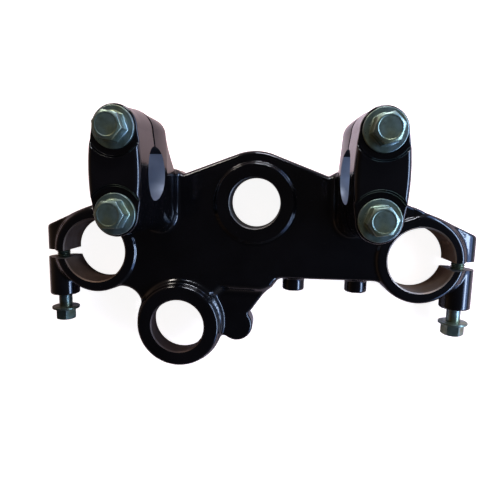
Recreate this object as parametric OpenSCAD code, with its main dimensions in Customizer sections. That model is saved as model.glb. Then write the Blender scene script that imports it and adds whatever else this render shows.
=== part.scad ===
// Motorcycle top fork clamp (upper triple clamp) with cast-in handlebar risers,
// two handlebar clamp caps, four cap bolts and two fork pinch bolts.
//
// Frame: the origin is on the steering stem bore axis, in the plane of the fork
// ring undersides. X runs along the fork centre distance, +Y points to the rider,
// +Z points up along the stem. Left means -X and right means +X.

/* [Fork clamps] */
// Outside diameter of the fork tubes that the two rings grip
fork_d = 33; // [28:0.5:41]
// Distance between the two fork tube axes
fork_spacing = 169.4; // [150:0.2:200]
// How far the fork axes lie in front of the steering stem axis
fork_offset = 27; // [20:0.5:40]
// Radial clearance of an unclamped ring round its fork tube
fork_fit = 0.05; // [0:0.01:0.15]
// Wall of a fork ring beside its tube
ring_wall = 5.85; // [4:0.1:9]
// Height of a fork ring along the tube
ring_h = 20; // [16:0.5:30]
// Width of the saw cut through the side of a ring
slit_w = 4.2; // [2:0.1:6]
// How far the saw cut lies in front of the fork axis
slit_shift = 2.8; // [0:0.1:5]
// How far the front pinch boss reaches in front of the fork axis
boss_reach = 26; // [22:0.2:32]
// Angle of the straight rear edge, measured from the X axis
rear_angle = 22.8; // [16:0.2:28]

/* [Pinch bolts] */
// Thread diameter of a pinch bolt
pinch_d = 7; // [6:0.5:8]
// Metal between a pinch bolt and the fork bore
pinch_web = 1.8; // [1.2:0.1:4]
// Wall of a pinch boss round its bolt
pinch_wall = 4.2; // [3:0.1:6]
// Flange diameter of a pinch bolt
pinch_flange_d = 14.6; // [12:0.1:18]
// Hexagon size of a pinch bolt across its flats
pinch_af = 10; // [8:0.5:13]
// Head height of a pinch bolt with its flange
pinch_head_h = 7.3; // [5:0.1:10]
// Length of a pinch bolt under its head
pinch_len = 40; // [36:0.5:46]
// How far a pinch bolt is screwed out from its seat
pinch_out = 7.4; // [0:0.1:9]

/* [Plate] */
// How far the plate surface lies below the tops of the fork rings
plate_drop = 1.4; // [0.5:0.1:3]
// Thickness of the plate over the pockets underneath
web_t = 8; // [5:0.2:11]
// Height of the rim walls above the undersides of the fork rings
skirt_z = 3; // [1:0.2:6]
// Thickness of the rim walls and ribs underneath
wall_t = 5; // [3:0.2:8]
// Radius of the rounded nose behind the steering stem
nose_r = 26.4; // [23:0.5:32]
// Angle of the edges that run from the nose to the risers
nose_angle = 20.6; // [14:0.2:28]
// Distance of the straight front edge from the steering stem axis
front_y = 38.9; // [34:0.2:44]
// Rounding radius of the outer top edge
edge_r = 2.2; // [1:0.1:3]

/* [Steering stem] */
// Diameter of the steering stem bore
stem_d = 26; // [20:0.1:30]
// Radius of the raised pad round the stem bore
stem_pad_r = 20.5; // [18:0.1:24]
// Diameter of the recess under the stem bore
stem_recess_d = 31; // [28:0.5:36]
// Depth of the recess under the stem bore
stem_recess_h = 4; // [2:0.2:7]

/* [Ignition switch ring] */
// Bore of the ignition switch ring
key_d = 28; // [24:0.2:32]
// Wall of the ignition switch ring
key_wall = 8; // [5:0.1:10]
// Distance of the ring axis to the left of the stem axis
key_x = 39.4; // [34:0.1:44]
// Distance of the ring axis in front of the stem axis
key_y = 65.5; // [60:0.1:72]
// Height of the ring along its bore
key_h = 14.8; // [11:0.2:18]
// Bore of the wider lower part of the ring
key_low_d = 31.2; // [28:0.2:34]
// Height of the narrower bore at the top of the ring
key_lip_h = 6; // [4:0.2:10]
// How far the ring stands above the fork rings
key_rise = 3; // [0:0.1:5]
// How far the collar round the foot of the ring is set over to the plate
key_collar = 1.2; // [0.4:0.1:2]

/* [Lug] */
// Radius of the rounded lug beside the ignition switch ring
lug_r = 8.7; // [6:0.1:11]
// Distance of the lug centre to the left of the stem axis
lug_x = 8.9; // [6:0.1:12]
// Distance of the lug centre in front of the stem axis
lug_y = 66.1; // [60:0.1:70]
// Height of the lug surface above the fork ring undersides
lug_top = 14; // [10:0.2:16]
// Where the web of the lug meets the front edge, to the right of the stem axis
lug_web_x = 12; // [6:0.5:18]
// How far the plate surface reaches over the web of the lug
lug_step = 6; // [2:0.2:8]
// Radius of the hollow between the left fork ring and the switch ring
neck_r = 10.6; // [6:0.2:14]

/* [Lamp bracket bosses] */
// Distance of the first boss axis to the right of the stem axis
lamp_x = 21.2; // [16:0.1:24]
// Distance between the two boss axes
lamp_pitch = 33; // [28:0.2:36]
// Radius of a boss
lamp_r = 5.75; // [4.5:0.05:6.5]
// How far a boss reaches in front of the plate edge
lamp_reach = 6.9; // [4:0.1:12]
// Drilled diameter of the M6 thread in a boss
lamp_hole_d = 5; // [4.2:0.1:6]
// Depth of the thread in a boss
lamp_hole_l = 14; // [8:0.5:18]

/* [Handlebar clamps] */
// Outside diameter of the handlebar
bar_d = 22.2; // [20:0.1:25.4]
// Radial clearance of the handlebar in its bore
bar_fit = 0.05; // [0:0.01:0.15]
// Distance between the centres of the two clamps, measured at the handlebar
riser_spacing = 98.6; // [90:0.1:110]
// Distance between the feet of the two risers on the plate
foot_spacing = 97.5; // [88:0.1:110]
// Distance of the handlebar axis behind the stem axis
bar_y = 12.4; // [6:0.1:18]
// Height of the handlebar axis above the fork ring undersides
bar_z = 59; // [48:0.5:70]
// Distance between the two bolts of one clamp
bolt_pitch = 32; // [31.5:0.1:38]
// Radius of the rounded ends of a clamp
clamp_end_r = 8.8; // [8.4:0.1:11]
// Width of a clamp at its middle
clamp_w = 20.4; // [18.4:0.1:24]
// Height of the bolt seats above the handlebar axis
seat_h = 20; // [17:0.2:24]
// Height of the crown between the seats, above the seats
crown_h = 1.8; // [1:0.1:4]
// Radius of the flat seat cut round each bolt
seat_r = 10.8; // [9.5:0.1:12]
// Height of the upright upper part of a riser below the handlebar axis
cradle_h = 15; // [8:0.5:18]

/* [Cap bolts] */
// Thread diameter of a cap bolt
cap_bolt_d = 8; // [6:0.5:8]
// Flange diameter of a cap bolt
cap_flange_d = 16; // [14:0.1:18]
// Hexagon size of a cap bolt across its flats
cap_af = 10; // [9:0.5:13]
// Head height of a cap bolt with its flange
cap_head_h = 7.6; // [6:0.1:10]
// Length of a cap bolt under its head
cap_bolt_len = 32; // [29:0.5:33]

/* [Clearances] */
// Radial clearance of a cap bolt in its cap
pass_fit = 0.3; // [0.1:0.05:0.5]
// Radial clearance of a bolt in its threaded hole
thread_fit = 0.04; // [0.02:0.01:0.08]
// Chamfer at the mouth of each machined bore
bore_chamfer = 0.5; // [0.3:0.1:1]

/* [Hidden] */
$fn = 48;
eps = 0.02;

fork_x = fork_spacing / 2;
fork_r = fork_d / 2 + fork_fit;
ring_r = fork_d / 2 + ring_wall;
plate_z = ring_h - plate_drop;
pocket_z = plate_z - web_t;
pinch_x = fork_x + fork_d / 2 + pinch_web + pinch_d / 2;
pinch_z = ring_h / 2;
pinch_r = pinch_d / 2 + pinch_wall;
boss_y = -fork_offset - boss_reach;
slit_y = -fork_offset - slit_shift;
seat_y = boss_y - pinch_out;
key_r = key_d / 2 + key_wall;
key_top = ring_h + key_rise;
key_low = key_top - key_h;
riser_x = riser_spacing / 2;
foot_x = foot_spacing / 2;
bar_r = bar_d / 2 + bar_fit;
seat_z = bar_z + seat_h;
crown_z = seat_z + crown_h;
bolt_dy = bolt_pitch / 2;
tap_depth = cap_bolt_len - seat_h + 1.5;
lamp_z = (plate_z + skirt_z) / 2;

// Y of the straight rear edge at a given distance from the middle
function rear_y(x) = -fork_offset
    + (ring_r + 0.4 - sin(rear_angle) * (x - fork_x)) / cos(rear_angle);

// Y of the straight edge between the nose and a riser
function nose_y(x) = (nose_r - sin(nose_angle) * x) / cos(nose_angle);

// Both hands of a thing that is drawn on the right
module both_sides() {
    children();
    mirror([1, 0, 0]) children();
}

// Slab from z0 to z1 with a rounded top edge, made in three steps
module rounded_slab(z0, z1, r) {
    steps = 2;
    translate([0, 0, z0]) linear_extrude(z1 - z0 - r) children();
    for (i = [1 : steps]) {
        a = 90 * i / (steps + 1);
        b = 90 * (i - 1) / (steps + 1);
        translate([0, 0, z1 - r + r * sin(b) - eps])
            linear_extrude(r * (sin(a) - sin(b)) + eps)
                offset(delta = -r * (1 - cos((a + b) / 2))) children();
    }
    a_last = 90 * steps / (steps + 1);
    translate([0, 0, z1 - r + r * sin(a_last) - eps])
        linear_extrude(r * (1 - sin(a_last)) + eps)
            offset(delta = -r * (1 - cos((a_last + 90) / 2))) children();
}

// Turned solid with rounded outer edges, radius r, from z0 to z1
module turned(r, z0, z1, edge_top, edge_low) {
    top = [for (i = [0 : 5]) let (a = 18 * i)
        [r - edge_top + edge_top * cos(a), z1 - edge_top + edge_top * sin(a)]];
    low = [for (i = [0 : 5]) let (a = 18 * i)
        [r - edge_low + edge_low * sin(a), z0 + edge_low - edge_low * cos(a)]];
    rotate_extrude($fn = 96) polygon(concat([[0, z0]], low, top, [[0, z1]]));
}

// Through bore with a small chamfer at both mouths
module chamfered_bore(r, z0, z1) {
    c = bore_chamfer;
    rotate_extrude($fn = 96) polygon([[0, z0 - 1], [r + c + 1, z0 - 1], [r, z0 + c],
        [r, z1 - c], [r + c + 1, z1 + 1], [0, z1 + 1]]);
}

// Plan of the plate between the nose, the risers and the front edge, right half
module half_plan() {
    polygon([[-1, -front_y], [fork_x - 14, -front_y], [fork_x, -fork_offset],
        [fork_x, rear_y(fork_x)], [foot_x + 10, rear_y(foot_x + 10)],
        [foot_x + 7, bar_y + 1.5], [foot_x - 5, bar_y + 3.5],
        [foot_x - 8, rear_y(foot_x - 8)], [foot_x - 11.5, nose_y(foot_x - 11.5)],
        [nose_r * sin(nose_angle), nose_r * cos(nose_angle)], [-1, nose_r - 1]]);
}

// Plan of the whole plate without the ignition switch ring
module low_plan() {
    offset(r = -3) offset(delta = 3) {
        half_plan();
        mirror([1, 0, 0]) half_plan();
        circle(nose_r);
        translate([fork_x, -fork_offset]) circle(ring_r - 0.6);
        translate([-fork_x, -fork_offset]) circle(ring_r - 0.6);
    }
}

// Plan of the plate with the ignition switch ring blended in
module top_plan() {
    low_plan();
    offset(r = -neck_r) offset(delta = neck_r) {
        translate([-fork_x, -fork_offset]) circle(ring_r - 0.6);
        translate([-key_x, -key_y]) circle(key_r - 0.6);
        polygon([[-fork_x + ring_r - 8, -front_y], [-foot_x, 0], [-stem_pad_r / 2, -stem_pad_r],
            [lug_web_x, -front_y], [lug_web_x - 3, -front_y - lug_step + 1.7],
            [lug_web_x - 8.5, -front_y - lug_step], [-key_x + key_r, -front_y - lug_step + 0.6],
            [-key_x + key_r - 2.3, -key_y + key_r - 3]]);
    }
}

// Plan of the lug with the low web that carries it
module lug_plan() {
    offset(r = -3) offset(delta = 3) {
        translate([-lug_x, -lug_y]) circle(lug_r);
        polygon([[-lug_x + lug_r - 0.7, -lug_y + 8.4], [lug_web_x, -front_y],
            [lug_web_x, -front_y + 8], [-key_x + 12, -front_y + 2], [-key_x + 17, -key_y - 7.5],
            [-lug_x - lug_r + 2.2, -lug_y - lug_r + 2.8], [-lug_x, -lug_y]]);
    }
}

// Plan of the pockets in the underside, which leave a rim wall and ribs
module pocket_plan() {
    difference() {
        offset(delta = -wall_t) low_plan();
        circle(stem_pad_r - 0.6);
        both_sides_plan() {
            translate([fork_x, -fork_offset]) circle(ring_r - 0.6);
            translate([foot_x, -4]) circle(clamp_w / 2 - 0.5);
            rotate(-18) translate([0, -wall_t / 2]) square([fork_x, wall_t]);
        }
        for (x = [lamp_x, lamp_x + lamp_pitch])
            translate([x - lamp_r, -front_y]) square([2 * lamp_r, 14]);
        translate([-key_x, -key_y]) circle(key_r + 5);
        rotate(-121) translate([0, -wall_t / 2]) square([key_y, wall_t]);
    }
}

// Both hands of a plan that is drawn on the right
module both_sides_plan() {
    children();
    mirror([1, 0]) children();
}

// Oval plan of a handlebar clamp, centred on the handlebar axis
module clamp_plan(shrink = 0) {
    bow = clamp_w / 2 - clamp_end_r;
    side_r = (bolt_dy * bolt_dy + bow * bow) / (2 * bow);
    offset(delta = -shrink) {
        for (s = [-1, 1]) translate([0, s * bolt_dy]) circle(clamp_end_r);
        intersection() {
            translate([side_r - clamp_w / 2, 0]) circle(side_r, $fn = 240);
            translate([clamp_w / 2 - side_r, 0]) circle(side_r, $fn = 240);
            square([clamp_w, bolt_pitch], center = true);
        }
    }
}

// Plan of the foot of a riser where it stands on the plate, right hand
module foot_plan(grow = 0) {
    translate([foot_x + 0.6, -7.5]) circle(8 + grow);
    offset(r = 3 + grow) polygon([[foot_x - 4.3, -7.5], [foot_x + 5.5, -7.5],
        [foot_x + 6.4, bar_y - 4.2], [foot_x - 4.8, bar_y + 0.6]]);
}

// Leaning riser, right hand, with a filleted foot
module riser() {
    hull() {
        translate([0, 0, plate_z - 4]) linear_extrude(4.5) foot_plan();
        translate([riser_x, bar_y, bar_z - cradle_h]) linear_extrude(cradle_h - 4) {
            clamp_plan(-0.6);
            for (s = [-1, 1])
                translate([s * (clamp_w / 2 - 5.5), bolt_dy + 4.2]) circle(4.5);
        }
        translate([riser_x, bar_y, bar_z - 1]) linear_extrude(1) clamp_plan();
    }
    for (f = [[2.4, 0.6], [1, 1.8]])
        translate([0, 0, plate_z - 3]) linear_extrude(3 + f[1])
            intersection() {
                foot_plan(f[0]);
                offset(delta = -0.8) low_plan();
            }
}

// Pinch bosses of one fork ring and the straight web behind them, right hand
module pinch_bosses() {
    difference() {
        union() {
            translate([pinch_x, boss_y, pinch_z]) rotate([-90, 0, 0])
                turned(pinch_r, 0, boss_reach + ring_r, 0.6, 1.2);
            translate([0, 0, pinch_z - pinch_r + 1.2])
                rounded_slab(0, 2 * pinch_r - 2.4, 1.6)
                    polygon([[fork_x, -fork_offset], [fork_x + 2, rear_y(fork_x + 2)],
                        [pinch_x + 4, rear_y(pinch_x + 4)], [pinch_x + 4, slit_y],
                        [pinch_x, boss_y + 6], [fork_x + 14, -fork_offset - 14]]);
        }
        translate([fork_x, rear_y(fork_x), pinch_z - ring_h]) rotate(-rear_angle)
            translate([-ring_r / 2, 0, 0]) cube([3 * ring_r, 2 * ring_r, 2 * ring_h]);
    }
}

// Cuts of one fork ring, right hand: fork bore, saw cut, bolt hole and thread
module ring_cuts() {
    translate([fork_x, -fork_offset, 0]) chamfered_bore(fork_r, 0, ring_h);
    translate([fork_x, slit_y - slit_w / 2, -1])
        cube([ring_r + 2 * pinch_r, slit_w, ring_h + 2]);
    translate([pinch_x, boss_y - 1, pinch_z]) rotate([-90, 0, 0])
        cylinder(r = pinch_d / 2 + thread_fit, h = pinch_len - pinch_out + 3);
    translate([pinch_x, boss_y - 1, pinch_z]) rotate([-90, 0, 0])
        cylinder(r = pinch_d / 2 + pass_fit, h = slit_y - boss_y + 1);
}

// Cuts of one riser, right hand: handlebar bore and two threaded holes
module riser_cuts() {
    translate([riser_x - clamp_w, bar_y, bar_z]) rotate([0, 90, 0])
        cylinder(r = bar_r, h = 2 * clamp_w, $fn = 96);
    for (s = [-1, 1]) translate([riser_x, bar_y + s * bolt_dy, bar_z - tap_depth])
        cylinder(r = cap_bolt_d / 2 + thread_fit, h = tap_depth + 1);
}

// The casting: plate, stem boss, fork rings, ignition switch ring and risers
module fork_bridge() {
    color([0.05, 0.05, 0.06])
    difference() {
        union() {
            difference() {
                union() {
                    translate([0, 0, skirt_z]) linear_extrude(key_low + 1 - skirt_z)
                        offset(delta = -0.4) low_plan();
                    rounded_slab(key_low + 0.4, plate_z, edge_r) top_plan();
                    rounded_slab(skirt_z, lug_top, 1.6) lug_plan();
                }
                translate([0, 0, -1]) linear_extrude(pocket_z + 1) pocket_plan();
            }
            turned(stem_pad_r, 0, ring_h, 1, 1);
            translate([-key_x, -key_y, 0]) turned(key_r, key_low, key_top, 1.4, 1);
            translate([-key_x, -key_y, 0]) rotate(65) translate([key_collar, 0, 0])
                turned(key_r + key_collar - 0.2, key_low + 4, plate_z + 1, 0.9, 1);
            for (x = [lamp_x, lamp_x + lamp_pitch])
                translate([x, -front_y - lamp_reach, lamp_z]) rotate([-90, 0, 0])
                    turned(lamp_r, 0, lamp_reach + 10, 0.5, 0.9);
            both_sides() {
                translate([fork_x, -fork_offset, 0]) turned(ring_r, 0, ring_h, 1.3, 1);
                pinch_bosses();
                riser();
            }
        }
        chamfered_bore(stem_d / 2, stem_recess_h, ring_h);
        translate([0, 0, -1]) cylinder(d = stem_recess_d, h = stem_recess_h + 1, $fn = 96);
        translate([-key_x, -key_y, 0]) chamfered_bore(key_d / 2, key_low, key_top);
        translate([-key_x, -key_y, key_low - 1])
            cylinder(d = key_low_d, h = key_h - key_lip_h + 1, $fn = 96);
        for (x = [lamp_x, lamp_x + lamp_pitch])
            translate([x, -front_y - lamp_reach - 1, lamp_z]) rotate([-90, 0, 0])
                cylinder(d = lamp_hole_d, h = lamp_hole_l + 1);
        both_sides() {
            ring_cuts();
            riser_cuts();
        }
    }
}

// Handlebar clamp cap, centred on its own middle on the handlebar axis
module bar_cap() {
    difference() {
        union() {
            linear_extrude(0.6) clamp_plan(0.5);
            translate([0, 0, 0.5]) rounded_slab(0, seat_h + crown_h - 0.5, 2) clamp_plan();
        }
        translate([-clamp_w, 0, 0]) rotate([0, 90, 0])
            cylinder(r = bar_r, h = 2 * clamp_w, $fn = 96);
        for (s = [-1, 1]) translate([0, s * bolt_dy, 0]) {
            translate([0, 0, seat_h]) cylinder(r = seat_r, h = crown_h + 1);
            translate([0, 0, -1]) cylinder(r = cap_bolt_d / 2 + pass_fit, h = seat_h + 2);
        }
    }
}

// Flange bolt with its seat at z = 0, head above and shank below
module flange_bolt(d, len, flange_d, af, head_h) {
    rim = 0.08 * flange_d;
    dish = 0.41 * af;
    rotate_extrude() polygon([[0, -len], [d / 2 - 0.8, -len], [d / 2, -len + 0.8],
        [d / 2, 0], [flange_d / 2 - 0.3, 0], [flange_d / 2, 0.3], [flange_d / 2, rim],
        [flange_d / 2 - 0.4, rim + 0.3], [af / 2 + 0.4, rim + 1.5], [0, rim + 1.5]]);
    difference() {
        intersection() {
            cylinder(d = af / cos(30), h = head_h, $fn = 6);
            cylinder(r1 = af + head_h - 1.2, r2 = af / 2 - 0.15, h = head_h + 0.01);
        }
        translate([0, 0, head_h - 0.2]) cylinder(r1 = dish - 0.3, r2 = dish, h = 0.22);
    }
}

module left_bar_cap() {
    color([0.06, 0.06, 0.07]) translate([-riser_x, bar_y, bar_z]) bar_cap();
}

module right_bar_cap() {
    color([0.06, 0.06, 0.07]) translate([riser_x, bar_y, bar_z]) bar_cap();
}

// Cap bolt on side sx (-1 left, 1 right), row sy (-1 front, 1 rear), head turned
module cap_bolt(sx, sy, turn) {
    color([0.45, 0.5, 0.45])
        translate([sx * riser_x, bar_y + sy * bolt_dy, seat_z]) rotate(turn)
            flange_bolt(cap_bolt_d, cap_bolt_len, cap_flange_d, cap_af, cap_head_h);
}

module cap_bolt_left_rear() { cap_bolt(-1, 1, 48); }
module cap_bolt_left_front() { cap_bolt(-1, -1, 0); }
module cap_bolt_right_rear() { cap_bolt(1, 1, 16); }
module cap_bolt_right_front() { cap_bolt(1, -1, 8); }

// Pinch bolt on side sx, partly screwed out from its seat, head turned
module pinch_bolt(sx, turn) {
    color([0.45, 0.5, 0.45])
        translate([sx * pinch_x, seat_y, pinch_z]) rotate([90, 0, 0]) rotate(turn)
            flange_bolt(pinch_d, pinch_len, pinch_flange_d, pinch_af, pinch_head_h);
}

module left_pinch_bolt() { pinch_bolt(-1, 4); }
module right_pinch_bolt() { pinch_bolt(1, 16); }

fork_bridge();
left_bar_cap();
right_bar_cap();
cap_bolt_left_rear();
cap_bolt_left_front();
cap_bolt_right_rear();
cap_bolt_right_front();
left_pinch_bolt();
right_pinch_bolt();
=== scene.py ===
import itertools
import math
from typing import NamedTuple

import bpy
import numpy as np
from mathutils import Euler, Matrix, Vector


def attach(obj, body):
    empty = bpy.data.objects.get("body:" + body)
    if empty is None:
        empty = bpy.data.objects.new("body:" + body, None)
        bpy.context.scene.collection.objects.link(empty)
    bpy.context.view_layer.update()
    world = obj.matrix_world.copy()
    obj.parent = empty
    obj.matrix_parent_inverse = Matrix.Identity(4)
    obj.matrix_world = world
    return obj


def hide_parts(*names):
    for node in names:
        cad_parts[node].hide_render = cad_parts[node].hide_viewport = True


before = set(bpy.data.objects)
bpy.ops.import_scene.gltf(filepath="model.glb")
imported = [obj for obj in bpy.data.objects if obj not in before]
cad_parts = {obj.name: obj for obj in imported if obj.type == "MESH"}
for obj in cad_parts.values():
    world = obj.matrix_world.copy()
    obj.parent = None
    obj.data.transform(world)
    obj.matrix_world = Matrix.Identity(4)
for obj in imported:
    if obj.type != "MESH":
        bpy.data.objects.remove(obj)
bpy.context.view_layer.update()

MM = 0.001

# Driving sizes of the casting in millimetres, the same ones as the CAD solids have

# Fork rings and their pinch bolts
FORK_D = 33.0
FORK_FIT = 0.05
FORK_SPACING = 169.4
FORK_Y = -27.0
RING_WALL = 5.85
RING_H = 20.0
SLIT_SHIFT = 2.8
SLIT_W = 4.2
REAR_GAP = 0.4
REAR_ANGLE = math.radians(22.8)
PINCH_D = 7.0
PINCH_WEB = 1.8
PINCH_WALL = 4.2
PINCH_OUT = 7.4
BOSS_REACH = 26.0

# Plate
PLATE_DROP = 1.4
WEB_T = 8.0
SKIRT_Z = 3.0
WALL_T = 5.0
NOSE_R = 26.4
NOSE_ANGLE = math.radians(20.6)
FRONT_Y = -38.9
EDGE_R = 2.2

# Steering stem
STEM_R = 13.0
STEM_PAD_R = 20.5
RECESS_R = 15.5
RECESS_H = 4.0

# Ignition switch ring
KEY_X = -39.4
KEY_Y = -65.5
KEY_BORE_R = 14.0
KEY_LOW_R = 15.6
KEY_WALL = 8.0
KEY_H = 14.8
KEY_RISE = 3.0
KEY_LIP = 6.0
COLLAR_SHIFT = 1.2
COLLAR_ANGLE = math.radians(65)
NECK_R = 10.6

# Lug and lamp bracket bosses
LUG_X = -8.9
LUG_Y = -66.1
LUG_R = 8.7
LAMP_X = 21.2
LAMP_PITCH = 33.0
LAMP_R = 5.75
LAMP_REACH = 6.9
LAMP_HOLE_R = 2.5
LAMP_HOLE_L = 14.0

# Handlebar clamps
BAR_D = 22.2
BAR_FIT = 0.05
BAR_Y = 12.4
BAR_Z = 59.0
RISER_SPACING = 98.6
FOOT_SPACING = 97.5
BOLT_PITCH = 32.0
CLAMP_W = 20.4
CLAMP_END_R = 8.8
SEAT_H = 20.0
SEAT_R = 10.8
CROWN_H = 1.8
CRADLE_H = 15.0


class Bolt(NamedTuple):
    """Flange bolt, whose thread starts at thread_from below its seat."""
    d: float
    length: float
    flange_d: float
    across: float
    head_h: float
    pitch: float
    thread_from: float


CAP_BOLT = Bolt(d=8.0, length=32.0, flange_d=16.0, across=10.0, head_h=7.6, pitch=1.25,
                thread_from=10.0)
PINCH_BOLT = Bolt(d=PINCH_D, length=40.0, flange_d=14.6, across=10.0, head_h=7.3, pitch=1.0,
                  thread_from=12.0)
PASS_FIT = 0.3
THREAD_FIT = 0.04

# Sizes that only the painted casting has: a lug face that stands higher than in the
# solids, rounded lower edges, the groove and the flare where cap and riser meet, the y
# past which the bar seats turn near-black, finer chamfers and the depth of a pinch bolt's hole
LUG_TOP = 15.2
LOW_EDGE_R = 1.0
SPLIT_H = 0.7
SPLIT_DEEP = 0.7
FLARE = 1.4
SEAT_DARK_FROM_Y = 21.1
BORE_CHAMFER = 0.38
STEM_CHAMFER = 0.25
PINCH_HOLE_L = 34.0

# Box that the casting is worked out in, and the cell sizes of the three kinds of mesh
CAST_LOW = (-116, -90, 0)
CAST_HIGH = (116, 40, BAR_Z)
BRIDGE_CELL = 0.92
CAP_CELL = 0.45
BOLT_CELL = 0.26

# Derived sizes
FORK_X = FORK_SPACING / 2
FORK_R = FORK_D / 2 + FORK_FIT
RING_R = FORK_D / 2 + RING_WALL
SLIT_Y = FORK_Y - SLIT_SHIFT
PINCH_X = FORK_X + FORK_D / 2 + PINCH_WEB + PINCH_D / 2
PINCH_Z = RING_H / 2
PINCH_R = PINCH_D / 2 + PINCH_WALL
BOSS_Y = FORK_Y - BOSS_REACH
PLATE_Z = RING_H - PLATE_DROP
POCKET_Z = PLATE_Z - WEB_T
KEY_R = KEY_BORE_R + KEY_WALL
KEY_TOP = RING_H + KEY_RISE
KEY_LOW = KEY_TOP - KEY_H
COLLAR_R = KEY_R + 1
LAMP_XS = (LAMP_X, LAMP_X + LAMP_PITCH)
LAMP_Y = FRONT_Y - LAMP_REACH
LAMP_Z = (PLATE_Z + SKIRT_Z) / 2
BAR_R = BAR_D / 2 + BAR_FIT
RISER_X = RISER_SPACING / 2
FOOT_X = FOOT_SPACING / 2
BOLT_DY = BOLT_PITCH / 2
SEAT_Z = BAR_Z + SEAT_H
CROWN_Z = SEAT_Z + CROWN_H
CRADLE_Z = BAR_Z - CRADLE_H
TAP_DEPTH = CAP_BOLT.length - SEAT_H + 1.5
CLAMP_BOW = CLAMP_W / 2 - CLAMP_END_R
CLAMP_SIDE_R = (BOLT_DY * BOLT_DY + CLAMP_BOW * CLAMP_BOW) / (2 * CLAMP_BOW)


# Distance fields, in millimetres, negative inside

def circle(x, y, cx, cy, r):
    """Distance past the rim of a circle."""
    return np.hypot(x - cx, y - cy) - r


def polygon(x, y, points):
    """Signed distance to a polygon with the given corners."""
    best = None
    inside = None
    count = len(points)
    for i in range(count):
        ax, ay = points[i]
        bx, by = points[(i + 1) % count]
        ex, ey = bx - ax, by - ay
        wx, wy = x - ax, y - ay
        t = np.clip((wx * ex + wy * ey) / (ex * ex + ey * ey), 0, 1)
        d = (wx - ex * t) ** 2 + (wy - ey * t) ** 2
        best = d if best is None else np.minimum(best, d)
        crosses = ((ay <= y) & (by > y)) | ((by <= y) & (ay > y))
        side = (x - ax) < (y - ay) * ex / (ey if ey else 1e-9)
        flip = crosses & side
        inside = flip if inside is None else inside ^ flip
    return np.where(inside, -1, 1) * np.sqrt(best)


def fillet(a, b, r):
    """Union of two fields with a concave fillet of radius r."""
    return np.maximum(r, np.minimum(a, b)) - np.hypot(np.maximum(r - a, 0), np.maximum(r - b, 0))


def common(a, b, r):
    """Intersection of two fields with a rounded edge of radius r."""
    return np.minimum(-r, np.maximum(a, b)) + np.hypot(np.maximum(r + a, 0), np.maximum(r + b, 0))


def slab(plan, z, low, high, r_low, r_high):
    """Plan field made into a slab between two heights, with rounded edges."""
    return common(common(plan, z - high, r_high), low - z, r_low)


def rear_line(ax, y):
    """Distance past the straight rear edge that runs from a riser to the fork clamp."""
    c, s = math.cos(REAR_ANGLE), math.sin(REAR_ANGLE)
    return (y - FORK_Y) * c + (ax - FORK_X) * s - RING_R - REAR_GAP


def rear_y(x):
    """Y of the straight rear edge at a given distance from the middle."""
    return FORK_Y + (RING_R + REAR_GAP - math.sin(REAR_ANGLE) * (x - FORK_X)) / math.cos(REAR_ANGLE)


def nose_y(x):
    """Y of the straight edge between the nose and a riser."""
    return (NOSE_R - math.sin(NOSE_ANGLE) * x) / math.cos(NOSE_ANGLE)


def plate_plan(x, y):
    """Plate with its round nose; the concave corners in front of the fork rings are filleted."""
    ax = np.abs(x)
    outline = [(-40, FRONT_Y), (FORK_X - 14, FRONT_Y), (FORK_X, FORK_Y),
               (FORK_X, rear_y(FORK_X)), (FOOT_X + 10, rear_y(FOOT_X + 10)),
               (FOOT_X + 7, BAR_Y + 1.5), (FOOT_X - 5, BAR_Y + 3.5),
               (FOOT_X - 8, rear_y(FOOT_X - 8)), (FOOT_X - 11.5, nose_y(FOOT_X - 11.5)),
               (NOSE_R * math.sin(NOSE_ANGLE), NOSE_R * math.cos(NOSE_ANGLE)),
               (-40, NOSE_R * math.cos(NOSE_ANGLE) - 6)]
    plan = np.minimum(polygon(ax, y, outline), circle(ax, y, 0, 0, NOSE_R))
    ring = circle(ax, y, FORK_X, FORK_Y, RING_R - 0.3)
    r = 0.01 + 3.5 * np.clip((-26 - y) / 6, 0, 1)
    return fillet(plan, ring, r)


def neck_plan(x, y):
    """Stretch of the plate that carries the switch ring, with the arc beside the left fork ring."""
    sloped = polygon(x, y, [(12, FRONT_Y), (-10, -20), (-55, -10), (-71, FRONT_Y), (KEY_X, KEY_Y),
                            (-19.6, -46.4), (-17.4, FRONT_Y - 5.4), (3.5, FRONT_Y - 6),
                            (9, FRONT_Y - 4.3)])
    ax, ay = -FORK_X, FORK_Y
    ra = RING_R + NECK_R
    rb = KEY_R + NECK_R
    dist = math.hypot(KEY_X - ax, KEY_Y - ay)
    along = (ra * ra - rb * rb + dist * dist) / (2 * dist)
    off = math.sqrt(ra * ra - along * along)
    ux, uy = (KEY_X - ax) / dist, (KEY_Y - ay) / dist
    cx = ax + along * ux + off * uy
    cy = ay + along * uy - off * ux
    wedge = polygon(x, y, [(ax, ay), (cx, cy), (KEY_X, KEY_Y), (-55, -30)])
    return np.minimum(sloped, np.maximum(wedge, -circle(x, y, cx, cy, NECK_R)))


def lug_plan(x, y):
    """Round lug and the web that joins it to the plate and the switch ring."""
    web = polygon(x, y, [(LUG_X + LUG_R - 0.9, LUG_Y + 8.4), (12, FRONT_Y), (12, FRONT_Y + 8),
                         (KEY_X + 12, FRONT_Y + 2), (KEY_X + 17, KEY_Y - 7.5),
                         (LUG_X - LUG_R + 2.2, LUG_Y - LUG_R + 2.8), (LUG_X, LUG_Y)])
    return fillet(web, circle(x, y, LUG_X, LUG_Y, LUG_R), 1.6)


def strip(x, y, angle, start, stop, width):
    """Straight rib that runs out from the stem axis."""
    c, s = math.cos(angle), math.sin(angle)
    u, v = x * c + y * s, y * c - x * s
    return np.maximum(np.maximum(u - stop, start - u), np.abs(v) - width / 2)


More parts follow.
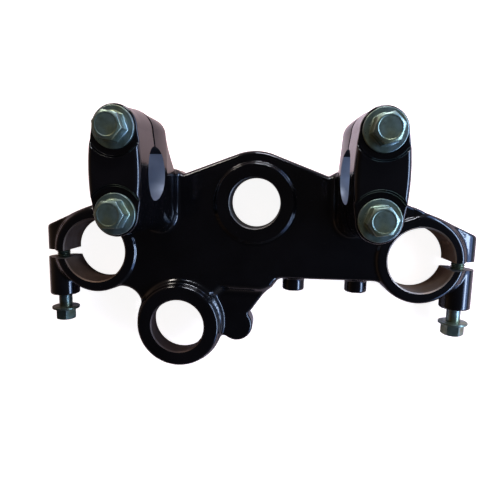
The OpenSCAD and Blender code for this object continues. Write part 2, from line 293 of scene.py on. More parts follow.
def pocket_plan(x, y):
    """Hollow underside between the rim wall, the bosses and the ribs."""
    ax = np.abs(x)
    pocket = plate_plan(x, y) + WALL_T
    keep = [circle(x, y, 0, 0, STEM_PAD_R), circle(ax, y, FORK_X, FORK_Y, RING_R),
            circle(ax, y, FOOT_X, -4, CLAMP_W / 2 - 0.5),
            strip(ax, y, math.radians(-18), 0, FORK_X, WALL_T),
            circle(x, y, KEY_X, KEY_Y, KEY_R + 5),
            strip(x, y, math.radians(-121), 0, -KEY_Y, WALL_T)]
    for lamp_x in LAMP_XS:
        keep.append(np.maximum(np.abs(x - lamp_x) - LAMP_R, y - FRONT_Y - 14))
    for solid in keep:
        pocket = common(pocket, -solid, 1.5)
    return pocket


def flared(v, lean):
    """Stretches the rear half of a clamp by lean at its far end."""
    return np.where(v > 0, v * (1 - lean / (BOLT_DY + CLAMP_END_R)), v)


def clamp_lens(u, v):
    """Space between the two bowed sides of a handlebar clamp."""
    shift = CLAMP_SIDE_R - CLAMP_W / 2
    return np.maximum(circle(u, v, shift, 0, CLAMP_SIDE_R), circle(u, v, -shift, 0, CLAMP_SIDE_R))


def clamp_plan(u, v):
    """Oval plan of a handlebar clamp round its own middle."""
    lens = np.maximum(clamp_lens(u, v), np.abs(v) - BOLT_DY)
    return np.minimum(lens, circle(u, np.abs(v), 0, BOLT_DY, CLAMP_END_R))


def cradle_plan(u, v):
    """Fuller plan of a riser under its handlebar seat, with a squarer rear end."""
    lens = clamp_lens(u, np.where(v > 0, 0.62 * v, v)) - 0.5
    block = common(lens, v - BOLT_DY - CLAMP_END_R + 0.2, 6.0)
    block = np.maximum(block, -v - BOLT_DY)
    return np.minimum(block, circle(u, v, 0, -BOLT_DY, CLAMP_END_R + 0.3))


def foot_plan(u, v):
    """Plan of a riser where it stands on the plate."""
    round_end = circle(u, v, 0.6, -7.5, 8)
    block = polygon(u, v, [(-4.3, -7.5), (5.5, -7.5), (6.4, BAR_Y - 4.2), (-4.8, BAR_Y + 0.6)]) - 3
    return fillet(round_end, block, 1)


def riser(ax, y, z):
    """Leans to the rear from its foot, through the cradle plan, to the clamp plan at the bar."""
    t = np.clip((z - PLATE_Z) / (CRADLE_Z - PLATE_Z), 0, 1)
    foot_y = 1.0
    shift = foot_y + (BAR_Y - foot_y) * t
    u = ax - FOOT_X - (RISER_X - FOOT_X) * t
    low = foot_plan(u, y - shift + foot_y)
    high = cradle_plan(u, y - shift)
    body = low + (high - low) * t
    top = clamp_plan(u, flared(y - BAR_Y, FLARE))
    swell_h = 13
    k = np.clip((z - BAR_Z + swell_h) / swell_h, 0, 1)
    body = body + (top - body) * k * k
    return common(common(body, z - BAR_Z, 0.3), PLATE_Z - 6 - z, 0.5)


def fork_clamp(ax, y, z):
    """Split ring with its pinch bosses and the straight web behind them."""
    edge_r = 1.7 + 0.9 * np.clip((ax - FORK_X) / 12, 0, 1)
    ring = slab(circle(ax, y, FORK_X, FORK_Y, RING_R), z, 0, RING_H, LOW_EDGE_R, edge_r)
    boss = common(circle(ax, z, PINCH_X, PINCH_Z, PINCH_R), BOSS_Y - y, 1.1)
    web_plan = polygon(ax, y, [(FORK_X, FORK_Y), (FORK_X + 15, FORK_Y - 9), (PINCH_X - 1, BOSS_Y + 12),
                               (PINCH_X + 1, SLIT_Y), (PINCH_X + 1, rear_y(PINCH_X + 1) + 6),
                               (FORK_X - 6, rear_y(FORK_X - 6) + 6)])
    web_top = PINCH_Z + PINCH_R + 0.9 * np.clip((FORK_X + 16 - ax) / 12, 0, 1)
    web = slab(web_plan, z, PINCH_Z - PINCH_R, web_top, 1.2, 1.2)
    ear = np.minimum(boss, web)
    lean = z - PLATE_Z + 0.26 * (ax - FORK_X - 12) - 3 * np.clip((SLIT_Y + 2 - y) / 6, 0, 1)
    ear = common(common(ear, lean * 0.97, 2.0), rear_line(ax, y), 1.1)
    ring = common(ring, rear_line(ax, y), 0.8)
    return fillet(ring, ear, 2.2)


def casting(x, y, z):
    """The whole fork bridge before it is machined."""
    ax = np.abs(x)
    plan = plate_plan(x, y)
    plate = slab(plan, z, SKIRT_Z, PLATE_Z, LOW_EDGE_R, EDGE_R)
    neck = np.minimum(neck_plan(x, y), plan + 3)
    body = np.minimum(plate, slab(neck, z, KEY_LOW, PLATE_Z, LOW_EDGE_R, EDGE_R + 0.2))
    lug = slab(lug_plan(x, y), z, SKIRT_Z, LUG_TOP, LOW_EDGE_R, 1.8)
    body = fillet(body, lug, 5.0)
    collar = circle(x, y, KEY_X + COLLAR_SHIFT * math.cos(COLLAR_ANGLE),
                    KEY_Y + COLLAR_SHIFT * math.sin(COLLAR_ANGLE), COLLAR_R)
    collar = slab(collar, z, KEY_LOW + 4, PLATE_Z + 1, LOW_EDGE_R, 0.9)
    body = fillet(body, collar, 1.6)
    key = slab(circle(x, y, KEY_X, KEY_Y, KEY_R), z, KEY_LOW, KEY_TOP, LOW_EDGE_R, 1.8)
    body = fillet(body, key, 1.8)
    stem = slab(circle(x, y, 0, 0, STEM_PAD_R), z, 0, RING_H, LOW_EDGE_R, 0.9)
    body = fillet(body, stem, 0.8)
    for lamp_x in LAMP_XS:
        boss = common(circle(x, z, lamp_x, LAMP_Z, LAMP_R), LAMP_Y - y, 0.9)
        body = fillet(body, common(boss, y + 28, 0.5), 1.3)
    body = fillet(body, fork_clamp(ax, y, z), 0.9)
    pocket = common(pocket_plan(x, y), z - POCKET_Z, 2.0)
    body = common(body, -pocket, 0.8)
    return fillet(body, riser(ax, y, z), 2.8)


def bar_cap(x, y, z):
    """Clamp cap round its own middle, with a flat seat cut for each bolt."""
    plan = clamp_plan(x, flared(y, FLARE * np.clip(1 - z / 14, 0, 1)))
    crown = slab(plan, z, SPLIT_H, CROWN_Z - BAR_Z, 0.2, 2.3)
    seat = common(circle(x, np.abs(y), 0, BOLT_DY, SEAT_R), SEAT_Z - BAR_Z - z, 0.8)
    crown = common(crown, -seat, 0.7)
    wall = slab(plan, z, SPLIT_H, SEAT_Z - BAR_Z, 0.2, 1.5)
    foot = np.maximum(np.maximum(plan + SPLIT_DEEP, z - 3), -z)
    return np.minimum(np.minimum(crown, wall), foot)


def hexagon(x, y, across):
    """Hexagon of a given size across its flats."""
    ax, ay = np.abs(x), np.abs(y)
    return np.maximum(ay, ax * math.cos(math.pi / 6) + ay * 0.5) - across / 2


def bolt_head(x, y, z, bolt):
    """Coned flange with its seat at z = 0, and a hexagon on it with a dished top."""
    r = np.hypot(x, y)
    rim_h = 0.08 * bolt.flange_d
    flange = common(r - bolt.flange_d / 2, -z, 0.15)
    flange = common(flange, z - rim_h, 0.35)
    slope = (z - rim_h - 0.35) + (r - bolt.across / 2 - 0.2) * 0.42
    cone = common(common(r - bolt.flange_d / 2 + 0.9, slope, 0.5), -z, 0.15)
    below_top = z - bolt.head_h
    dish_r = 0.41 * bolt.across
    prism = common(hexagon(x, y, bolt.across), below_top, 0.2)
    corner = (below_top + (r - dish_r - 0.15) * 0.5) * 0.9
    prism = common(common(prism, corner, 0.2), -z, 0.1)
    dish = common(r - dish_r - below_top * 0.6, -below_top - 0.17, 0.2)
    return common(fillet(np.minimum(flange, cone), prism, 0.45), -dish, 0.12)


def bolt_shank(x, y, z, bolt):
    """Shank below z = 0, with the turns of its thread and a tapered tip."""
    r = np.hypot(x, y)
    turn = np.arctan2(y, x) / (2 * math.pi)
    wave = np.abs(((z / bolt.pitch - turn) % 1.0) - 0.5) * 2
    depth = 0.54 * bolt.pitch * np.clip((-z - bolt.thread_from) / 1.2, 0, 1)
    shank = (r - bolt.d / 2 + depth * np.clip(wave * 1.25 - 0.12, 0, 1)) * 0.8
    tip = (-z - bolt.length) + np.maximum(r - bolt.d / 2 + 1.1, 0) * 0.8
    return common(common(shank, tip, 0.2), z - 0.5, 0.1)


# Surface of a field: one vertex in each crossed cell, pulled onto the surface

STEPS = np.eye(3, dtype=int)


def gradient(field, p, step=0.02):
    """Gradient of a field at each point, by central differences."""
    g = np.empty_like(p)
    for k in range(3):
        move = STEPS[k] * step
        g[:, k] = (field(*(p + move).T) - field(*(p - move).T)) / (2 * step)
    return g


def crossed_cells(solid):
    """Cells with corners on both sides of the surface, and each cell's place in that list."""
    count = np.zeros([n - 1 for n in solid.shape], np.int8)
    nx, ny, nz = count.shape
    for i, j, k in itertools.product((0, 1), repeat=3):
        count += solid[i:i + nx, j:j + ny, k:k + nz]
    cells = np.argwhere((count > 0) & (count < 8))
    index = np.full(count.shape, -1, np.int64)
    index[tuple(cells.T)] = np.arange(len(cells))
    return cells, index


def edge_means(values, cells):
    """Mean place where the surface crosses the edges of each cell, counted in cells."""
    total = np.zeros((len(cells), 3))
    hits = np.zeros(len(cells))
    for axis in range(3):
        u, v = [a for a in range(3) if a != axis]
        for s, t in itertools.product((0, 1), repeat=2):
            start = cells + s * STEPS[u] + t * STEPS[v]
            a = values[tuple(start.T)]
            b = values[tuple((start + STEPS[axis]).T)]
            crossed = (a < 0) != (b < 0)
            f = np.where(crossed, a / np.where(a == b, 1, a - b), 0)
            total += (start + f[:, None] * STEPS[axis]) * crossed[:, None]
            hits += crossed
    return total / hits[:, None]


def pulled(field, home, cell, rounds=4):
    """Moves each point along the gradient onto the surface, but not far from its cell."""
    points = home
    for _ in range(rounds):
        g = gradient(field, points)
        d = field(*points.T)
        move = -(d / np.maximum((g * g).sum(1), 0.05))[:, None] * g
        points = points + np.clip(move, -0.5 * cell, 0.5 * cell)
        points = home + np.clip(points - home, -0.9 * cell, 0.9 * cell)
    return points


def boundary_quads(solid, index):
    """One quad round each grid edge that crosses the surface, facing outward."""
    quads = []
    for axis in range(3):
        u, v = (axis + 1) % 3, (axis + 2) % 3
        edges = np.argwhere(np.diff(solid, axis=axis))
        inner = (edges[:, u] > 0) & (edges[:, v] > 0)
        inner &= (edges[:, u] < solid.shape[u] - 1) & (edges[:, v] < solid.shape[v] - 1)
        edges = edges[inner]
        ring = [edges - STEPS[u] - STEPS[v], edges - STEPS[v], edges, edges - STEPS[u]]
        quad = np.stack([index[tuple(c.T)] for c in ring], 1)
        outward = solid[tuple(edges.T)]
        quads.append(np.where(outward[:, None], quad, quad[:, ::-1]))
    return np.concatenate(quads)


def surface(field, low, high, cell):
    """Points and quads of a field's zero level between two corners of a box."""
    axes = [np.arange(low[k] - cell, high[k] + 2 * cell, cell) for k in range(3)]
    x, y, z = np.meshgrid(*axes, indexing="ij", sparse=True)
    values = np.broadcast_to(field(x, y, z), [len(a) for a in axes]).astype(np.float32)
    solid = values < 0
    cells, index = crossed_cells(solid)
    corner = np.array([a[0] for a in axes])
    points = edge_means(values, cells) * cell + corner
    return pulled(field, points, cell), boundary_quads(solid, index)


def mesh_object(name, points, faces):
    """Object from points in millimetres."""
    mesh = bpy.data.meshes.new(name)
    mesh.from_pydata((np.asarray(points) * MM).tolist(), [], faces)
    obj = bpy.data.objects.new(name, mesh)
    bpy.context.scene.collection.objects.link(obj)
    return obj


def cast(name, field, low, high, cell, material):
    """Object whose skin is the zero level of a field."""
    points, faces = surface(field, low, high, cell)
    obj = mesh_object(name, points, faces.tolist())
    obj.data.validate()
    obj.data.update()
    obj.data.materials.append(material)
    return obj


# Machining

TO_Y = Matrix.Rotation(math.radians(-90), 4, "X")
TO_X = Matrix.Rotation(math.radians(90), 4, "Y")


def at(x, y, z, rotation=None):
    """Place in millimetres, with a turn first if one is given."""
    move = Matrix.Translation((x * MM, y * MM, z * MM))
    return move @ rotation if rotation else move


def lathe(name, profile, place, metal, segments=128):
    """Closed turned cutter; profile is (radius, height) pairs from the low end to the high end."""
    angles = np.arange(segments) * 2 * math.pi / segments
    points = [(0, 0, profile[0][1])]
    for r, h in profile:
        points += [(r * math.cos(a), r * math.sin(a), h) for a in angles]
    points.append((0, 0, profile[-1][1]))
    last = len(points) - 1
    top = 1 + (len(profile) - 1) * segments
    faces = []
    for i in range(segments):
        j = (i + 1) % segments
        faces.append((0, 1 + j, 1 + i))
        for base in range(1, top, segments):
            faces.append((base + i, base + j, base + segments + j, base + segments + i))
        faces.append((last, top + i, top + j))
    obj = mesh_object(name, points, faces)
    obj.data.transform(place)
    obj.data.materials.append(metal)
    return obj


def box_cutter(name, low, high, metal):
    """Square cutter between two corners in millimetres."""
    corners = [(x, y, z) for x in (low[0], high[0]) for y in (low[1], high[1])
               for z in (low[2], high[2])]
    faces = [(0, 1, 3, 2), (4, 6, 7, 5), (0, 4, 5, 1), (2, 3, 7, 6), (0, 2, 6, 4), (1, 5, 7, 3)]
    obj = mesh_object(name, corners, faces)
    obj.data.materials.append(metal)
    return obj


def bore_profile(r, low, high, chamfer=BORE_CHAMFER):
    """Profile of a through bore with a chamfer at both mouths, and 1 mm past them."""
    far = r + 1.7 * (chamfer + 1)
    return [(far, low - 1), (r, low + chamfer), (r, high - chamfer), (far, high + 1)]


def cut(obj, cutters):
    """Machines each cutter out of obj; the cut faces take the cutter's metal."""
    for cutter in cutters:
        step = obj.modifiers.new("cut", "BOOLEAN")
        step.operation = "DIFFERENCE"
        step.solver = "MANIFOLD"
        step.object = cutter
        step.material_mode = "TRANSFER"
    dg = bpy.context.evaluated_depsgraph_get()
    made = bpy.data.meshes.new_from_object(obj.evaluated_get(dg))
    obj.modifiers.clear()
    obj.data = made
    for cutter in cutters:
        bpy.data.objects.remove(cutter)


def smooth(obj, field):
    """Sets the normals of the cast skin from its field, and sharpens the machined edges."""
    mesh = obj.data
    mesh.shade_smooth()
    mesh.set_sharp_from_angle(angle=math.radians(28))
    count = len(mesh.loops)
    normals = np.empty(count * 3, np.float32)
    mesh.corner_normals.foreach_get("vector", normals)
    normals = normals.reshape(-1, 3).astype(float)
    co = np.empty(len(mesh.vertices) * 3)
    mesh.vertices.foreach_get("co", co)
    co = co.reshape(-1, 3) / MM
    corner_vertex = np.empty(count, np.int64)
    mesh.loops.foreach_get("vertex_index", corner_vertex)
    sizes = np.empty(len(mesh.polygons), np.int64)
    mesh.polygons.foreach_get("loop_total", sizes)
    slots = np.empty(len(mesh.polygons), np.int64)
    mesh.polygons.foreach_get("material_index", slots)
    face_normals = np.empty(len(mesh.polygons) * 3)
    mesh.polygons.foreach_get("normal", face_normals)
    face_normals = np.repeat(face_normals.reshape(-1, 3), sizes, axis=0)
    skin = np.repeat(slots, sizes) == 0
    g = gradient(field, co)
    g /= np.maximum(np.linalg.norm(g, axis=1), 1e-6)[:, None]
    wanted = g[corner_vertex]
    true_side = (wanted * face_normals).sum(1) > 0.55
    use = skin & true_side
    normals[use] = wanted[use]
    mesh.normals_split_custom_set(normals.tolist())


# Shader nodes

MIX_FACTOR = 0
MIX_A = 6
MIX_B = 7
MIX_RESULT = 2
WHITE = (1, 1, 1, 1)


def grey(v):
    return (v, v, v)


def node_material(name):
    mat = bpy.data.materials.new(name)
    mat.use_nodes = True
    nodes, links = mat.node_tree.nodes, mat.node_tree.links
    shader = nodes["Principled BSDF"]
    where = nodes.new("ShaderNodeTexCoord").outputs["Object"]
    return mat, nodes, links, shader, where


def noise(nodes, links, where, scale, detail=3.0, rough=0.5, stretch=None):
    """Level of a soft noise at a place, which stretch may scale along each axis."""
    tex = nodes.new("ShaderNodeTexNoise")
    tex.inputs["Scale"].default_value = scale
    tex.inputs["Detail"].default_value = detail
    tex.inputs["Roughness"].default_value = rough
    if stretch:
        mapping = nodes.new("ShaderNodeMapping")
        mapping.inputs["Scale"].default_value = stretch
        links.new(where, mapping.inputs["Vector"])
        where = mapping.outputs["Vector"]
    links.new(where, tex.inputs["Vector"])
    return tex.outputs["Fac"]


def ramp(nodes, links, source, stops):
    """Colours along an output; each stop is a position and a colour."""
    made = nodes.new("ShaderNodeValToRGB")
    made.color_ramp.elements.remove(made.color_ramp.elements[1])
    for i, (position, colour) in enumerate(stops):
        stop = made.color_ramp.elements[0] if i == 0 else made.color_ramp.elements.new(position)
        stop.position = position
        stop.color = (*colour, 1)
    links.new(source, made.inputs["Fac"])
    return made.outputs["Color"]


def place_parts(nodes, links, where):
    """The x, y and z of a place, each as an output."""
    split = nodes.new("ShaderNodeSeparateXYZ")
    links.new(where, split.inputs["Vector"])
    return split.outputs["X"], split.outputs["Y"], split.outputs["Z"]


def maths(nodes, links, operation, source, *values):
    """Maths on one output; the values fill the other inputs."""
    node = nodes.new("ShaderNodeMath")
    node.operation = operation
    links.new(source, node.inputs[0])
    for i, value in enumerate(values, 1):
        node.inputs[i].default_value = value
    return node.outputs[0]


def product(nodes, links, a, b):
    """Product of two colours."""
    node = nodes.new("ShaderNodeMix")
    node.data_type = "RGBA"
    node.blend_type = "MULTIPLY"
    node.inputs[MIX_FACTOR].default_value = 1.0
    links.new(a, node.inputs[MIX_A])
    links.new(b, node.inputs[MIX_B])
    return node.outputs[MIX_RESULT]


def covered(nodes, links, source, colour, where_one):
    """A colour output, replaced by a plain colour where the last output is one."""
    node = nodes.new("ShaderNodeMix")
    node.data_type = "RGBA"
    node.inputs[MIX_B].default_value = colour
    links.new(where_one, node.inputs[MIX_FACTOR])
    links.new(source, node.inputs[MIX_A])
    return node.outputs[MIX_RESULT]


def bump(nodes, links, shader, heights):
    """Chains bump nodes; heights is a list of (output, strength, distance in metres)."""
    last = None
    for height, strength, distance in heights:
        b = nodes.new("ShaderNodeBump")
        b.inputs["Strength"].default_value = strength
        b.inputs["Distance"].default_value = distance
        links.new(height, b.inputs["Height"])
        if last:
            links.new(last.outputs["Normal"], b.inputs["Normal"])
        last = b
    links.new(last.outputs["Normal"], shader.inputs["Normal"])


# Materials

# Tones of bare metal, each from its darkest patch to its lightest
BARE_TONES = ((0.10, 0.09, 0.08), (0.13, 0.12, 0.11), (0.165, 0.155, 0.145))
# The fork bores are one machined metal: the left one's tones are darkened as painted shade, the right
# one's lightened as painted light
SHADED_LEFT_FORK_TONES = ((0.09, 0.055, 0.035), (0.14, 0.095, 0.07), (0.22, 0.185, 0.165))
LIT_RIGHT_FORK_TONES = ((0.23, 0.15, 0.09), (0.26, 0.19, 0.135), (0.28, 0.24, 0.21))
KEY_TONES = ((0.05, 0.032, 0.028), (0.075, 0.05, 0.04), (0.12, 0.075, 0.055))
# Bar seats: grey of machined aluminium, with a blue tint that is a painted reflection of the blue lamps
SEAT_TONES = ((0.24, 0.265, 0.31), (0.30, 0.325, 0.375), (0.36, 0.39, 0.44))

# Zinc plating, from its yellow patches to its blue ones
ZINC_HUES = ((0.20, 0.225, 0.135), (0.18, 0.235, 0.185), (0.19, 0.245, 0.225))

PAINT_DARK = (0.0018, 0.0016, 0.0019)
PAINT_LIGHT = (0.0032, 0.0028, 0.0032)
# Plain near-black that the bar seats turn to towards their rear
SEAT_DARK = (0.006, 0.005, 0.006, 1)

# The band round the split of riser and cap that doesn't shine, painted shade of the seam, in millimetres
SEAM_SHADE_MIDDLE = BAR_Z + 0.1
SEAM_SHADE_HALF = 0.75


def gloss_paint():
    """Glossy black paint on a casting, with painted shade in the groove between riser and cap, where it
    doesn't shine.
    """
    mat, nodes, links, shader, where = node_material("gloss_black_paint")
    patch = noise(nodes, links, where, 60, 4)
    colour = ramp(nodes, links, patch, [(0.3, PAINT_DARK), (0.75, PAINT_LIGHT)])
    links.new(colour, shader.inputs["Base Color"])
    shader.inputs["IOR"].default_value = 1.5
    rough = ramp(nodes, links, noise(nodes, links, where, 110, 3), [(0.25, grey(0.09)), (0.8, grey(0.17))])
    links.new(rough, shader.inputs["Roughness"])
    height = place_parts(nodes, links, where)[2]
    # Painted shade: no shine in a band along the seam of riser and cap
    groove = maths(nodes, links, "COMPARE", height, SEAM_SHADE_MIDDLE * MM, SEAM_SHADE_HALF * MM)
    shine = maths(nodes, links, "MULTIPLY_ADD", groove, -0.5, 0.5)
    links.new(shine, shader.inputs["Specular IOR Level"])
    peel = noise(nodes, links, where, 330, 2)
    waves = noise(nodes, links, where, 45, 2)
    specks = nodes.new("ShaderNodeTexVoronoi")
    specks.inputs["Scale"].default_value = 95
    specks.inputs["Randomness"].default_value = 1
    links.new(where, specks.inputs["Vector"])
    dots = ramp(nodes, links, specks.outputs["Distance"], [(0.0, grey(1)), (0.07, grey(0))])
    bump(nodes, links, shader, [(waves, 0.25, 0.0006), (peel, 0.12, 0.00012), (dots, 0.35, 0.00012)])
    return mat


def bare_metal(name, tones, dark_from=None):
    """Machined aluminium, turning a plain near-black past the y in millimetres that the last argument
    gives.
    """
    mat, nodes, links, shader, where = node_material(name)
    stain = noise(nodes, links, where, 35, 4, 0.6)
    colour = ramp(nodes, links, stain, list(zip((0.3, 0.5, 0.7), tones)))
    # Past the given y the colour turns a plain near-black
    if dark_from:
        depth = place_parts(nodes, links, where)[1]
        past = maths(nodes, links, "GREATER_THAN", depth, dark_from * MM)
        colour = covered(nodes, links, colour, SEAT_DARK, past)
    links.new(colour, shader.inputs["Base Color"])
    shader.inputs["Metallic"].default_value = 0.75
    lines = noise(nodes, links, where, 60, 3, 0.6, (1, 1, 45))
    rough = ramp(nodes, links, lines, [(0.3, grey(0.38)), (0.7, grey(0.52))])
    links.new(rough, shader.inputs["Roughness"])
    bump(nodes, links, shader, [(lines, 0.25, 0.0001)])
    return mat


def zinc_plate(name, level_low, level_high):
    """Zinc plated steel, clouded between two levels of brightness."""
    mat, nodes, links, shader, where = node_material(name)
    cloud = noise(nodes, links, where, 260, 4, 0.6)
    level = ramp(nodes, links, cloud, [(0.3, grey(level_low)), (0.7, grey(level_high))])
    drift = noise(nodes, links, where, 95, 2)
    hue = ramp(nodes, links, drift, list(zip((0.38, 0.5, 0.62), ZINC_HUES)))
    links.new(product(nodes, links, hue, level), shader.inputs["Base Color"])
    shader.inputs["Metallic"].default_value = 0.85
    grain = noise(nodes, links, where, 900, 3)
    rough = ramp(nodes, links, grain, [(0.3, grey(0.27)), (0.7, grey(0.38))])
    links.new(rough, shader.inputs["Roughness"])
    bump(nodes, links, shader, [(grain, 0.08, 0.00006), (cloud, 0.12, 0.00012)])
    return mat


PAINT = gloss_paint()
BARE = bare_metal("machined_bore", BARE_TONES)
# Left and right fork bores differ only by painted shade and painted light
FORK_BORE = {-1: bare_metal("machined_left_bore_painted_shade", SHADED_LEFT_FORK_TONES),
             1: bare_metal("machined_right_bore_painted_light", LIT_RIGHT_FORK_TONES)}
KEY_BORE = bare_metal("machined_key_bore", KEY_TONES)
BAR_SEAT = bare_metal("machined_bar_seat", SEAT_TONES, SEAT_DARK_FROM_Y)
ZINC = zinc_plate("zinc_plated_steel", 0.75, 1.25)
# A darker copy of the same zinc plating, for the left pinch bolt
DARKER_ZINC = zinc_plate("darker_zinc_plated_steel", 0.28, 0.50)


# The casting

def side_cutters(s):
    """Fork bore, slit, pinch bolt hole and tapped cap bolt holes of one side."""
    bore = bore_profile(FORK_R, 0, RING_H)
    cutters = [lathe("fork_bore", bore, at(s * FORK_X, FORK_Y, 0), FORK_BORE[s])]
    near, far = sorted((s * (FORK_X + 5), s * (PINCH_X + 12)))
    cutters.append(box_cutter("slit", (near, SLIT_Y - SLIT_W / 2, -2),
                              (far, SLIT_Y + SLIT_W / 2, RING_H + 2), BARE))
    clear_r = PINCH_D / 2 + PASS_FIT
    tapped_r = PINCH_D / 2 + THREAD_FIT
    to_slit = SLIT_Y - BOSS_Y + 1
    hole = [(clear_r, 0), (clear_r, to_slit), (tapped_r, to_slit + 0.2), (tapped_r, PINCH_HOLE_L + 1)]
    cutters.append(lathe("pinch_hole", hole, at(s * PINCH_X, BOSS_Y - 1, PINCH_Z, TO_Y), BARE, 48))
    tapped_r = CAP_BOLT.d / 2 + THREAD_FIT
    hole = [(tapped_r, BAR_Z - TAP_DEPTH), (tapped_r, BAR_Z + 1)]
    for t in (-1, 1):
        cutters.append(lathe("cap_bolt_hole", hole, at(s * RISER_X, BAR_Y + t * BOLT_DY, 0), BARE, 48))
    return cutters


def middle_cutters():
    """Stem bore with the recess below it, stepped switch bore, bar seats and lamp boss holes."""
    stem = [(RECESS_R, -1), (RECESS_R, RECESS_H), (STEM_R + 0.5, RECESS_H + 0.05)]
    stem += bore_profile(STEM_R, RECESS_H, RING_H, STEM_CHAMFER)[1:]
    lip = KEY_TOP - KEY_LIP
    key = [(KEY_LOW_R + 1, KEY_LOW - 1), (KEY_LOW_R, KEY_LOW + 0.5), (KEY_LOW_R, lip),
           (KEY_BORE_R, lip + 0.3)]
    key += bore_profile(KEY_BORE_R, KEY_LOW, KEY_TOP)[2:]
    cutters = [lathe("stem_bore", stem, at(0, 0, 0), BARE),
               lathe("key_bore", key, at(KEY_X, KEY_Y, 0), KEY_BORE),
               lathe("bar_bore", [(BAR_R, -70), (BAR_R, 70)], at(0, BAR_Y, BAR_Z, TO_X), BAR_SEAT)]
    hole = [(LAMP_HOLE_R + 0.6, 0), (LAMP_HOLE_R, 1.4), (LAMP_HOLE_R, LAMP_HOLE_L + 1),
            (0.2, LAMP_HOLE_L + 2.4)]
    for lamp_x in LAMP_XS:
        cutters.append(lathe("lamp_hole", hole, at(lamp_x, LAMP_Y - 1, LAMP_Z, TO_Y), BARE, 48))
    return cutters


def stand_for(obj, node):
    """Hands a piece to the root body as the look of one CAD node."""
    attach(obj, "root")
    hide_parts(node)


def make_bridge():
    obj = cast("cast_bridge", casting, CAST_LOW, CAST_HIGH, BRIDGE_CELL, PAINT)
    cut(obj, side_cutters(-1) + side_cutters(1) + middle_cutters())
    smooth(obj, casting)
    stand_for(obj, "fork_bridge")


def make_cap(s, side):
    middle = s * RISER_X

    def field(x, y, z):
        return bar_cap(x - middle, y - BAR_Y, z - BAR_Z)

    low = (middle - 12, BAR_Y - 27, BAR_Z)
    high = (middle + 12, BAR_Y + 28, CROWN_Z)
    obj = cast("skin_of_" + side + "_bar_cap", field, low, high, CAP_CELL, PAINT)
    cutters = [lathe("bar_bore", [(BAR_R, -30), (BAR_R, 30)], at(middle, BAR_Y, BAR_Z, TO_X), BAR_SEAT)]
    hole_r = CAP_BOLT.d / 2 + PASS_FIT
    hole = [(hole_r, BAR_Z - 1), (hole_r, CROWN_Z + 1)]
    for t in (-1, 1):
        cutters.append(lathe("bolt_hole", hole, at(middle, BAR_Y + t * BOLT_DY, 0), BARE, 48))
    cut(obj, cutters)
    smooth(obj, field)
    stand_for(obj, side + "_bar_cap")


# Bolts

# Turn of each hexagon in degrees, as the photo shows it
CAP_BOLT_TURNS = {("left", "rear"): 48, ("left", "front"): 0, ("right", "rear"): 16, ("right", "front"): 8}
PINCH_BOLT_TURNS = {"left": 4, "right": 16}
SIGN = {"left": -1, "right": 1, "front": -1, "rear": 1}


def bolt_pattern(name, bolt):
    def field(x, y, z):
        return np.minimum(bolt_head(x, y, z, bolt), bolt_shank(x, y, z, bolt))

    reach = bolt.flange_d / 2
    low = (-reach, -reach, -bolt.length)
    high = (reach, reach, bolt.head_h)
    obj = cast(name, field, low, high, BOLT_CELL, ZINC)
    smooth(obj, field)
    return obj


def place_bolt(pattern, node, place):
    """Copy of a pattern that shares its mesh."""
    obj = pattern.copy()
    obj.name = "detailed_" + node
    bpy.context.scene.collection.objects.link(obj)
    obj.matrix_world = place
    stand_for(obj, node)
    return obj


def turned(degrees):
    return Matrix.Rotation(math.radians(degrees), 4, "Z")


def make_cap_bolts():
    pattern = bolt_pattern("cap_bolt_pattern", CAP_BOLT)
    for (side, end), turn in CAP_BOLT_TURNS.items():
        place = at(SIGN[side] * RISER_X, BAR_Y + SIGN[end] * BOLT_DY, SEAT_Z, turned(turn))
        place_bolt(pattern, "cap_bolt_" + side + "_" + end, place)
    bpy.data.objects.remove(pattern)


def make_pinch_bolts():
    """The left one gets a darker copy of the zinc plating, on its own copy of the mesh."""
    pattern = bolt_pattern("pinch_bolt_pattern", PINCH_BOLT)
    head_to_front = Matrix.Rotation(math.radians(90), 4, "X")
    for side, turn in PINCH_BOLT_TURNS.items():
        place = at(SIGN[side] * PINCH_X, BOSS_Y - PINCH_OUT, PINCH_Z, head_to_front @ turned(turn))
        bolt = place_bolt(pattern, side + "_pinch_bolt", place)
        if side == "left":
            bolt.data = bolt.data.copy()
            bolt.data.materials[0] = DARKER_ZINC
    bpy.data.objects.remove(pattern)


make_bridge()
make_cap(-1, "left")
make_cap(1, "right")
make_cap_bolts()
make_pinch_bolts()


# Floor, room and lamps

FLOOR_HALF = 12000
FLOOR_GAP = 0.2
FLOOR_COLOUR = (0.97, 0.67, 0.57, 1)
FLOOR_GLOW = 0.91
AIM = (0, 0, 0.02)


def make_floor():
    """Pale floor just below the part, lit from within to the camera only."""
    corners = [(x * FLOOR_HALF, y * FLOOR_HALF, 0) for x, y in ((-1, -1), (1, -1), (1, 1), (-1, 1))]
    floor = mesh_object("floor", corners, [(0, 1, 2, 3)])
    floor.location.z = -FLOOR_GAP * MM
    mat, nodes, links, shader, _ = node_material("white_floor")
    shader.inputs["Base Color"].default_value = FLOOR_COLOUR
    shader.inputs["Roughness"].default_value = 0.9
    shader.inputs["Specular IOR Level"].default_value = 0.0
    shader.inputs["Emission Color"].default_value = WHITE
    seen = nodes.new("ShaderNodeLightPath").outputs["Is Camera Ray"]
    glow = maths(nodes, links, "MULTIPLY", seen, FLOOR_GLOW)
    links.new(glow, shader.inputs["Emission Strength"])
    floor.data.materials.append(mat)


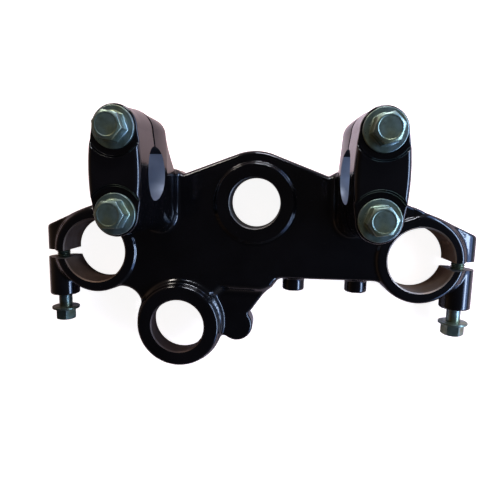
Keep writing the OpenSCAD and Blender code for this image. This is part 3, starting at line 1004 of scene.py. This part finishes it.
def make_world():
    """Dim room, darker above and in front, brown to the left and blue to the right."""
    world = bpy.data.worlds.new("studio")
    world.use_nodes = True
    bpy.context.scene.world = world
    nodes, links = world.node_tree.nodes, world.node_tree.links
    where = nodes.new("ShaderNodeTexCoord").outputs["Generated"]
    to_right, to_rear, up = place_parts(nodes, links, where)
    level = ramp(nodes, links, up,
                 [(0.0, grey(0.45)), (0.3, grey(0.25)), (0.6, grey(0.08)), (0.9, grey(0.04))])
    tint = ramp(nodes, links, maths(nodes, links, "MULTIPLY_ADD", to_right, 0.5, 0.5),
                [(0.0, (0.80, 0.50, 0.33)), (0.5, (0.8, 0.72, 0.74)), (1.0, (1.3, 1.55, 2.1))])
    shade = ramp(nodes, links, maths(nodes, links, "MULTIPLY_ADD", to_rear, 0.5, 0.5),
                 [(0.0, grey(0.35)), (0.5, grey(1.0))])
    room = product(nodes, links, product(nodes, links, level, tint), shade)
    seen = nodes.new("ShaderNodeLightPath").outputs["Is Camera Ray"]
    links.new(covered(nodes, links, room, WHITE, seen), nodes["Background"].inputs["Color"])


def area_light(name, place, size, power, colour):
    """Lamp that is aimed at the part; its place and size are in metres."""
    data = bpy.data.lights.new(name, "AREA")
    data.shape = "RECTANGLE"
    data.size, data.size_y = size
    data.energy = power
    data.color = colour
    obj = bpy.data.objects.new(name, data)
    bpy.context.scene.collection.objects.link(obj)
    obj.location = place
    obj.rotation_euler = (Vector(AIM) - Vector(place)).to_track_quat("-Z", "Y").to_euler()


make_floor()
make_world()
area_light("right_window", place=(0.56, 0.03, 0.33), size=(1.40, 0.28), power=5.6,
           colour=(0.27, 0.46, 1.0))
area_light("right_strip", place=(0.56, 0.02, 0.36), size=(0.90, 0.07), power=4.6,
           colour=(0.62, 0.78, 1.0))
area_light("rear_window", place=(0.10, 0.75, 0.42), size=(0.30, 0.10), power=4.6,
           colour=(0.84, 0.88, 1.0))
area_light("rear_left_window", place=(-0.38, 0.62, 0.42), size=(0.14, 0.10), power=1.6,
           colour=(1.0, 0.92, 0.85))


# Camera, at the place and turn that put the round rims where the photo has them

CAMERA_PLACE = (13.269, 6.063, 237.052)
CAMERA_TURN = (-7.7936, 4.1584, 1.2043)
CAMERA_LENS = 30.65


def make_camera():
    data = bpy.data.cameras.new("camera")
    data.sensor_width = 36.0
    data.lens = CAMERA_LENS
    data.clip_start = 0.01
    data.clip_end = 40
    camera = bpy.data.objects.new("camera", data)
    bpy.context.scene.collection.objects.link(camera)
    turn = Euler([math.radians(a) for a in CAMERA_TURN]).to_matrix().to_4x4()
    camera.matrix_world = at(*CAMERA_PLACE, turn)
    bpy.context.scene.camera = camera


make_camera()

bpy.context.scene.view_settings.view_transform = "Standard"
